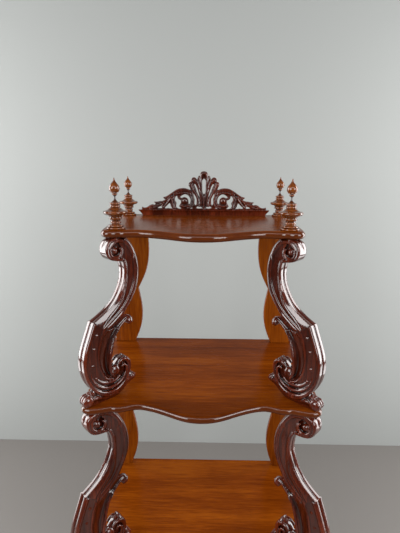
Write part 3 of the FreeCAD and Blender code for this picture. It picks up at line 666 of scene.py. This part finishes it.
leaves = [
    [(74.6, 40.7, 1.8), (81.8, 36.1, 2.4), (85.0, 26.9, 2.6), (84.2, 17.7, 2.6), (82.2, 9.6, 2.2),
     (80.3, 3.2, 1.8)],
    [(78.5, 35.0, 1.8), (79.8, 26.9, 2.0), (77.5, 17.7, 2.0), (77.6, 10.8, 1.8), (76.1, 2.7, 1.6)],
    [(84.1, 34.9, 1.8), (91.8, 26.8, 2.4), (97.7, 18.7, 2.4), (104.3, 10.6, 2.2), (110.3, 3.6, 2.0)],
    [(88.8, 33.7, 1.6), (98.2, 26.8, 2.2), (105.3, 19.8, 2.4), (111.3, 11.7, 2.0), (111.4, 5.6, 1.8)],
    [(93.4, 36.0, 1.8), (101.9, 31.0, 2.2), (106.0, 30.0, 1.6), (108.8, 31.6, 1.0)],
    [(100.6, 25.6, 1.8), (112.3, 19.8, 2.6), (122.9, 17.4, 2.6), (129.9, 18.3, 2.0), (133.6, 19.9, 1.0)],
    [(110.0, 17.5, 2.0), (120.7, 11.6, 2.6), (131.2, 9.8, 2.6), (140.6, 8.8, 2.6), (146.5, 6.4, 2.4),
     (154.8, 3.2, 2.0), (163.0, 2.6, 1.6), (167.0, 4.4, 1.0)],
    [(114.8, 10.0, 1.8), (124.3, 8.2, 1.6), (136.0, 4.1, 2.0), (147.8, 2.6, 1.8)]]


def makeCrest(s):  # flat behind, carved in front
    right = [point for run in fretRuns for point in (smoothRun(run) if len(run) > 2 else run)[:-1]]
    outline = [tuple(p) for p in right] + [fretRuns[-1][-1]] + mirrored(right[::-1])
    holes = [closedOutline([gap + gap[:1]]) for gap in fretGaps]
    holes += [mirrored(hole) for hole in holes]
    holes.append(closedOutline([slotMiddle, mirrored(slotMiddle[::-1])]))
    half, x, z, radius, flat = s["thickness"] / 2, *s["eye"]
    parts = [openwork(outline, holes, s["core"], half - s["core"] / 2)]
    lines = [[(0, w, r, r - half) for w, r in s["bar"]]]
    lines += [[(u, w, r, 0) for w, r in s["peg"]] for u in s["pegs"]]
    swollen = [(path, s["petalSwell"]) for path in petals]
    swollen += [(path, s["lineSwell"]) for path in band + leaves]
    for path, swell in swollen:
        for flip in (1, -1):
            lines.append([(flip * u, w, r * swell, r * swell - half) for u, w, r in smoothRun(path)])
    parts.append(ribs(lines))
    parts += [button(flip * x, z, radius * flat - half, radius, flat) for flip in (1, -1)]
    piece = carve(parts, s["grain"], s["smoothing"])
    # marks the hollows for painted shade
    markShadeInHollows(piece, s["hollows"])
    pick(piece)
    bpy.ops.transform.translate(value=(0, s["middle"] * mm, s["level"] * mm))
    bpy.ops.object.transform_apply()
    bpy.ops.object.shade_smooth()
    return piece


# front supports: u outward, w upward, v across the board, in mm, for a bay 352 high
# core, panel and volute are the boards' thicknesses, reed and nosing the rolled edges, lap is how many points
# the scroll's board runs up the belly, and cove is its height from the middle, as (share of its width, height)

supportPattern = {
    "height": 352, "cusp": 184, "core": 7, "coreInset": 2.6, "panel": 24.6, "volute": 13, "crest": 15,
    "reed": 3.1, "reedHalf": 7.6, "nosing": 6.5, "nosingHalf": 14.6, "topDrop": 3, "lowStart": 22, "lap": 30,
    "grain": 1.05, "smoothing": 3, "waist": 2.0, "waistLevel": 268, "waistReach": 43,
    "hollows": ((8, 0.8), (60, 4.0)),
    "cove": ((0, 11.8), (0.05, 10.5), (0.12, 7.6), (0.66, 4.6), (0.76, 5.0), (1, 11.5)),
    "coveLevels": (50, 158)}
seat = [(-13, 352), (8, 352)]
upperVolute = [(8, 352), (25, 346), (33.5, 328), (27, 310), (12, 303.5), (-5, 301)]
neck = [(-5, 301), (-8.6, 288), (-9.2, 274), (-7.2, 258), (0, 241), (16, 217), (39, 198), (69, 182)]
belly = [(69, 182), (84, 145), (94, 116), (97, 94), (94.5, 71), (87, 49), (75, 30), (58, 15), (40, 8.5),
         (21, 11.5), (3, 22), (-10, 43), (-15.8, 65), (-13, 78), (-6, 86.5), (4, 89), (14, 85), (23, 75.5),
         (30, 66)]
lip = [(30, 66), (34, 80), (30.5, 95), (25.5, 112), (17, 135), (10.5, 148), (1, 158), (-9, 163)]
ball = [(-9, 163), (-16, 156.5), (-22, 154), (-29, 158.5), (-31, 167.5), (-26, 177), (-17, 181.5), (-3, 184)]
inside = [(-3, 184), (-10, 194), (-21, 208), (-32, 224), (-40.5, 242), (-45.5, 262), (-46, 284), (-40.5, 311),
          (-31.5, 332), (-23.5, 343), (-13, 352)]

# inside the outline: where the arm's board ends and tops out, the inner corners of the belly's and the
# scroll's, the volute's lower edge, the edge under the arm, and both edges of the cove
armEnd = [(66, 181), (37, 159)]
bellyEnd = [(52, 38), (42, 49)]
scrollEnds = [(27, 60), (75, 60)]
armTop = [(-4, 347), (3, 344), (0, 336), (-5, 328), (-6, 318), (-1, 311)]
volutePanel = [(10, 307), (-4, 303), (-30, 308)]
armUnder = [(36, 158), (22, 166), (10, 174.5), (-3, 184)]
coveEdge = [(27, 54), (33, 49.5), (42, 51), (49, 60), (55, 72), (59, 87), (60.5, 103.5), (57.5, 119),
            (53.5, 134), (46.5, 150), (36, 158)]
coveFar = [(33.5, 60), (36.5, 76), (35.5, 92), (31.5, 109), (25, 128), (18, 142), (10, 152)]

# the leaf that the lower scroll lies in, and the knob at its end
cradle = [(92, 0), (96, 12), (86, 24), (70, 26), (40, 14), (20, 16), (2, 28), (-6, 34)]
cradleTip = [(-6, 34), (-16, 33), (-25, 37), (-28, 30), (-18, 24), (0, 14), (16, 4), (30, 0)]
cradleSizes = {"inset": 1.5, "thickness": 17, "veins": (-8, 0, 8), "knob": (89, 12.5),
               "knobRibs": (-7.3, 0, 7.3), "knobRadius": 12.5, "knobFlat": 0.62}

# carved lines on both faces: (u, w, radius)
beads = [
    [(-28, 318, 1.2), (-33, 298, 1.7), (-35, 280, 2.0), (-34, 262, 2.0), (-29, 244, 2.0), (-21.5, 229, 2.0),
     (-10.5, 212, 2.0), (2, 198, 2.0), (16.5, 186, 2.1), (32, 175, 2.2), (48, 164.5, 2.2)],
    [(46.5, 163.5, 2.0), (53.5, 151, 2.1), (58, 137, 2.2), (61.5, 121, 2.2), (63.5, 104, 2.2),
     (62.5, 87, 2.2), (58, 70.5, 2.2), (51.5, 58, 2.2), (43, 49.5, 2.2), (31, 46, 2.2)]]
ridges = [
    [(91, 80, 0.8), (88.5, 64, 1.8), (81, 47, 2.8), (70.5, 32.5, 3.6), (58, 22.5, 4.0), (45, 17.2, 4.2),
     (30, 16.5, 4.2), (16, 20.5, 4.1), (3, 29.5, 3.9), (-6.5, 44, 3.6), (-11, 60, 3.4), (-8, 74, 3.6),
     (0, 82.5, 3.8), (9, 82, 3.8), (15.5, 75, 3.2)],
    [(83, 75, 0.8), (78, 58, 2.0), (69, 44, 3.0), (57, 34.5, 3.4), (43, 29, 3.6), (28, 28.6, 3.6),
     (14, 33, 3.4), (2.5, 43, 3.2), (-3.5, 55.5, 3.0), (-2, 66.5, 3.0), (4, 70.5, 3.0), (7.5, 66, 2.6)],
    [(73, 66, 0.8), (65, 53, 2.0), (54, 44.6, 2.8), (41, 41, 3.1), (29, 41, 3.0), (20, 44.5, 2.6),
     (14, 50, 2.2)]]
scrollRim = [
    (-30, 304, 2.5), (-30.5, 313, 3.4), (-25, 325.5, 3.8), (-16, 337, 4.0), (-5, 343.5, 4.2), (6, 345, 4.3),
    (16, 341, 4.3), (23, 333, 4.2), (24.6, 323.5, 4.1), (20.5, 315, 3.9), (12, 310.5, 3.7), (3.5, 312, 3.4),
    (-1.5, 318, 3.1), (-2, 325, 2.8), (2, 330, 2.2)]
drops = [(64, 155), (72.7, 127), (77.3, 91), (70.7, 61)]
innerLine = [(-12, 262, 0.8), (-8, 243, 1.3), (-1, 224, 1.4), (7, 208.5, 1.4), (17, 198, 1.4), (31, 186, 1.4),
             (48.5, 167, 1.4)]
tendril = [(28, 50, 2.5), (33.5, 60, 3.2), (36.5, 76, 3.5), (35.5, 92, 3.6), (31.5, 109, 3.5), (25, 128, 3.3),
           (18, 142, 3.1), (8, 154, 3.0), (-4, 163.5, 2.9), (-14, 170, 2.8), (-22, 171.5, 2.7),
           (-27.5, 167, 2.5)]
leafVein = [(76, 14, 4), (68, 14, 5), (55, 10, 4.5), (38, 7, 4), (20, 9, 4), (4, 20, 3.6), (-8, 29, 3.2),
            (-18, 30, 3.2), (-24, 32, 3.0)]

# how far the crests of the carved lines lie from the middle of the board, how much less the ridges' do at
# their thin ends, by (thin radius, what more is full), and the bosses as (u, w, v, radius, flatness)
carvedFaces = {"inner": 13.7, "beads": 14.4, "ridges": 15, "ridgeFall": 2.6, "rim": 15, "thin": (0.8, 1.6),
               "tendril": 4, "tendrilRise": 7.5, "tendrilLevel": 165, "tendrilSlope": 60,
               "bosses": ((21.5, 60.5, 4.4, 13.2, 0.6), (13.0, 325, 6.6, 8.3, 0.95),
                          (-21.5, 163.5, 4.6, 7.4, 0.55)), "drop": (12.4, 2.6, 0.55)}

# the sloping face of the arm: its line, its heights at the edge and at that line, the levels that it lies
# between, the mitre where it ends as (u, w, slope), and how round it is
shoulder = {"line": [(-9.4, 274), (-7, 256), (-0.5, 233), (10, 211), (24, 197.5), (37, 186.5), (51, 170.5),
                     (55, 165)],
            "edge": 10.0, "crest": 14.6, "limit": 14.9, "inner": 9.5, "levels": (150, 274),
            "mitre": (38, 159.5, 0.774), "bend": 0.3}


def both(path, crest, fall=0.0):  # a line on both faces, its crest this far out, or less where it thins
    thin, full = carvedFaces["thin"]
    return [[(u, w, r, face * (crest - r - fall * max(0, 1 - max(0, r - thin) / full)))
             for u, w, r in smoothRun(path)] for face in (-1, 1)]


def tendrilDepth(w, s):  # further out of the cove as it falls
    return s["tendril"] + s["tendrilRise"] * min(1, max(0, (s["tendrilLevel"] - w) / s["tendrilSlope"]))


def beside(run, distance):  # a line inside the outline, which runs clockwise
    run = np.array(smoothRun(run) if len(run) > 2 else run)[:, :2]
    along = np.gradient(run, axis=0)
    along /= np.linalg.norm(along, axis=1)[:, None]
    return run + np.stack([along[:, 1], -along[:, 0]], axis=1) * distance


def edgeRolls(run, distance, radius, v):
    return [[(u, w, radius, face * v) for u, w in beside(run, distance)] for face in (-1, 1)]


def insetOutline(outline, distance, kept=0.96):  # moved in, without the loops that a tight corner makes
    ring = np.array(outline)
    along = np.roll(ring, -1, axis=0) - np.roll(ring, 1, axis=0)
    along /= np.linalg.norm(along, axis=1)[:, None] + 1e-9
    moved = ring + np.stack([along[:, 1], -along[:, 0]], axis=1) * distance
    gaps = np.linalg.norm(moved[:, None] - ring[None], axis=2).min(axis=1)
    return [tuple(point) for point, gap in zip(moved, gaps) if gap > distance * kept]


def supportParts(s):
    crest, reed, nosing, faces = s["crest"], s["reed"], s["nosing"], carvedFaces
    outline = closedOutline([seat, upperVolute, neck, belly, lip, ball, inside])
    neckIn, bellyIn = [tuple(p) for p in beside(neck, reed)], [tuple(p) for p in beside(belly, reed)]
    insideIn = [tuple(p) for p in beside(inside, nosing)]
    lowEnd = next(i for i, p in enumerate(bellyIn) if p[1] < s["lowStart"])
    arm = neckIn + armEnd + armUnder[1:-1] + insideIn[4:] + armTop
    lower = bellyIn[1:lowEnd] + bellyEnd + coveEdge[3:-1] + [armUnder[0], armEnd[0]]
    scroll = bellyIn[lowEnd - s["lap"]:-6] + scrollEnds[:1] + coveEdge[:4] + scrollEnds[1:]
    level = s["height"] - s["topDrop"]
    top = [[(u, level) for u, w in seat], upperVolute[1:-1], volutePanel]
    parts = [sawnBoard(insetOutline(outline, s["coreInset"]), s["core"]),
             sawnBoard(arm, s["panel"]), sawnBoard(lower, s["panel"]),
             sawnBoard(scroll, s["volute"]), sawnBoard(closedOutline(top) + insideIn[-14:], s["volute"])]
    edges = []
    for run in (neck, belly[:-4], upperVolute):
        edges += edgeRolls(run, reed, 1, crest - s["reedHalf"])
    parts.append(ribs(edges, (s["reedHalf"], reed)))
    edges = [edgeRolls(run, nosing, 1, 0)[0] for run in (inside, armUnder)]
    parts.append(ribs(edges, (s["nosingHalf"], nosing)))
    lines = both(innerLine, faces["inner"])
    for path in beads:
        lines += both(path, faces["beads"])
    for path in ridges:
        lines += both(path, faces["ridges"], faces["ridgeFall"])
    lines += both(scrollRim, faces["rim"])
    for face in (-1, 1):
        lines.append([(u, w, r, face * tendrilDepth(w, faces)) for u, w, r in smoothRun(tendril)])
    parts.append(ribs(lines))
    out, radius, flat = faces["drop"]
    for face in (-1, 1):
        parts += [button(u, w, face * v, *size) for u, w, v, *size in faces["bosses"]]
        parts += [button(u, w, face * out, radius, flat) for u, w in drops]
    parts += cradleParts(cradleSizes)
    return parts


def cradleParts(s):
    parts = [button(*s["knob"], v, s["knobRadius"], s["knobFlat"]) for v in s["knobRibs"]]
    under = closedOutline([cradle, cradleTip, [cradleTip[-1], cradle[0]]])
    parts.append(sawnBoard(insetOutline(under, s["inset"]), s["thickness"]))
    vein = smoothRun(leafVein)
    parts.append(ribs([[(u, w, r, v) for u, w, r in vein] for v in s["veins"]]))
    return parts


def besideLine(places, line):  # distance to the line and the side of it, along its own direction
    apart = places[:, None] - line[None]
    nearest = np.linalg.norm(apart, axis=2).argmin(axis=1)
    along = np.gradient(line, axis=0)[nearest]
    offset = places - line[nearest]
    return np.linalg.norm(offset, axis=1), along[:, 0] * offset[:, 1] - along[:, 1] * offset[:, 0]


def hollowCove(piece, s):  # the channel between the bead and the tendril, steep on its far side
    places = vertexPlaces(piece)
    flat = places[:, [0, 2]] / mm
    near, sideNear = besideLine(flat, np.array(smoothRun(coveEdge)))
    far, sideFar = besideLine(flat, np.array(smoothRun(coveFar)))
    low, high = s["coveLevels"]
    within = (sideNear > 0) & (sideFar < 0) & (flat[:, 1] > low) & (flat[:, 1] < high)
    height = np.interp(near / (near + far), *zip(*s["cove"]))
    raised = np.maximum(np.abs(places[:, 1]) / mm, height)
    places[within, 1] = (np.sign(places[:, 1]) * raised * mm)[within]
    piece.data.vertices.foreach_set("co", places.ravel())


def shapeShoulder(piece, s):  # the arm's face slopes up from its edge to a line that leaves it lower down
    places = vertexPlaces(piece)
    flat = places[:, [0, 2]] / mm
    near, sideNear = besideLine(flat, np.array(smoothRun(neck)))
    far, sideFar = besideLine(flat, np.array(smoothRun(s["line"])))
    (low, high), (u, w, slope) = s["levels"], s["mitre"]
    within = (sideNear < 1) & (sideFar > 0) & (np.abs(places[:, 1]) / mm > s["inner"])
    within &= (flat[:, 1] > w + slope * (flat[:, 0] - u)) & (flat[:, 1] > low) & (flat[:, 1] < high)
    share = np.where(sideNear > 0, 0, near / (near + far + 1e-6))
    bend = np.pi * s["bend"]
    height = s["edge"] + (s["crest"] - s["edge"]) * np.sin(share * bend) / math.sin(bend)
    places[within, 1] = (np.sign(places[:, 1]) * np.minimum(height, s["limit"]) * mm)[within]
    piece.data.vertices.foreach_set("co", places.ravel())


def thinWaist(piece, s):  # the arm is thinner below its scroll
    for vertex in piece.data.vertices:
        off = abs(vertex.co.z / mm - s["waistLevel"]) / s["waistReach"]
        if off < 1:
            vertex.co.y *= 1 - s["waist"] / s["crest"] * (0.5 + 0.5 * math.cos(math.pi * off))


support = carve(supportParts(supportPattern), supportPattern["grain"], supportPattern["smoothing"])
hollowCove(support, supportPattern)
shapeShoulder(support, shoulder)
thinWaist(support, supportPattern)
# marks the hollows and the cove for painted shade
markShadeInHollows(support, supportPattern["hollows"])
print("support carved,", len(support.data.polygons), "faces")

# how far further out than the upper one each support stands, and how far out its top leans
tiers = {"upper": (0, 0), "middle": (33, 32), "lower": (78, 34)}


def placeSupport(pattern, side, tier):
    (reach, lean), (below, bay) = tiers[tier], bays[tier][1:]
    (x, depth), full, cusp = turnings["finial_front"][:2], supportPattern["height"], supportPattern["cusp"]
    piece = pattern.copy()
    piece.data = pattern.data.copy()
    bpy.context.collection.objects.link(piece)
    scale, diagonal = bay / full, math.sqrt(0.5)
    flip = -1 if side == "left" else 1
    u, v, w = vertexPlaces(piece).T / mm
    out = reach + u * scale + lean * (np.maximum(0, w - cusp) / (full - cusp))
    y = shelfEdge["back"] - depth + (v - out) * diagonal
    height = np.clip(w, 0, full) * scale + levels[below]
    placed = np.stack([flip * (x + (out + v) * diagonal), y, height], axis=1) * mm
    piece.data.vertices.foreach_set("co", placed.ravel())
    piece.data.update()
    pick(piece)
    if flip < 0:
        edit(bpy.ops.mesh.flip_normals)
    bpy.ops.object.shade_smooth()
    return piece


for side in ("left", "right"):
    for tier in tiers:
        dress(placeSupport(support, side, tier), titled("support", side, tier), carvedFinish,
              "carved_mahogany", f"front_support_{side}_{tier}")
bpy.data.objects.remove(support)
print("supports done")

railSizes = {"joined": 0.00002, "flat": 0.5, "smooth": 40, "arris": 0.6, "corner": 30}
crest = makeCrest(crestSizes)
print("crest carved,", len(crest.data.polygons), "faces")
dress(crest, "CrestFret", carvedFinish, "carved_mahogany", "crest_fret")
rail = ownCopy(nodes["crest_rail"], railSizes)
modify(rail, "BEVEL", width=railSizes["arris"] * mm, segments=2, limit_method="ANGLE",
       angle_limit=math.radians(railSizes["corner"]))
dress(rail, "CrestRail", carvedFinish, "carved_mahogany", "crest_rail")
for name, node in nodes.items():
    if "dowels" in name:
        node.data.materials.clear()
        node.data.materials.append(dowelFinish)
print("crest and dowels done")

# floor, wall and lamps: fill is the world's light, and seen is added to it where the camera sees the world

studio = {"wall": 1.10, "half": 6.0, "fill": 0.15, "seen": 0.38, "aim": (0, 0, 0.9)}
paints = {"pale_floor": ((0.165, 0.152, 0.141), 0.6), "pale_wall": ((0.332, 0.344, 0.334), 0.8)}
mottle = {"noise": (220.0, 2), "share": 0.5, "dark": 0.96}


def painted(name):
    paint, (colour, rough) = Finish(name), paints[name]
    grain = paint.noise(paint.node("ShaderNodeTexCoord", out=3), *mottle["noise"])
    spots = paint.mix(grain * mottle["share"], colour, tuple(mottle["dark"] * c for c in colour))
    return paint.finish(spots, rough, oneSided=True)


bpy.ops.mesh.primitive_plane_add(size=2 * studio["half"], location=(0, studio["wall"] - studio["half"], 0))
floor = bpy.context.object
floor.name = "StudioFloor"
floor.data.materials.append(painted("pale_floor"))
bpy.ops.mesh.primitive_plane_add(size=2 * studio["half"], rotation=(math.radians(90), 0, 0),
                                 location=(0, studio["wall"], studio["half"]))
wall = bpy.context.object
wall.name = "StudioWall"
wall.data.materials.append(painted("pale_wall"))
for piece in (floor, wall):
    pick(piece)
    bpy.ops.object.transform_apply()

# place, width and height, watts
lamps = {
    "LampLeft": ((-1.9, 0.42, 1.50), (0.9, 1.9), 42), "LampRight": ((1.9, 0.42, 1.50), (0.9, 1.9), 42),
    "LampFrontLeft": ((-1.75, -1.85, 1.9), (1.3, 1.3), 44),
    "LampFrontRight": ((1.75, -1.85, 1.9), (1.3, 1.3), 42), "LampTop": ((0.0, -1.7, 2.9), (3.2, 0.5), 18),
    "LampLowLeft": ((-1.9, 0.42, 0.25), (0.9, 0.5), 5), "LampLowRight": ((1.9, 0.42, 0.25), (0.9, 0.5), 5)}
for name, (place, size, power) in lamps.items():
    bpy.ops.object.light_add(type="AREA", location=place)
    lamp = bpy.context.object
    lamp.name, lamp.data.shape, lamp.data.energy = name, "RECTANGLE", power
    lamp.data.size, lamp.data.size_y = size
    lamp.rotation_euler = (Vector(studio["aim"]) - Vector(place)).to_track_quat("-Z", "Y").to_euler()
world = bpy.data.worlds.new("studio")
bpy.context.scene.world = world
world.use_nodes = True
sky = world.node_tree.nodes["Background"]
sky.inputs["Color"].default_value = (1, 1, 1, 1)
path, seen = (world.node_tree.nodes.new(kind) for kind in ("ShaderNodeLightPath", "ShaderNodeMath"))
seen.operation = "MULTIPLY_ADD"
seen.inputs[1].default_value, seen.inputs[2].default_value = studio["seen"], studio["fill"]
world.node_tree.links.new(path.outputs["Is Camera Ray"], seen.inputs[0])
world.node_tree.links.new(seen.outputs[0], sky.inputs["Strength"])
bpy.context.scene.view_settings.view_transform = "Standard"
print("studio done")
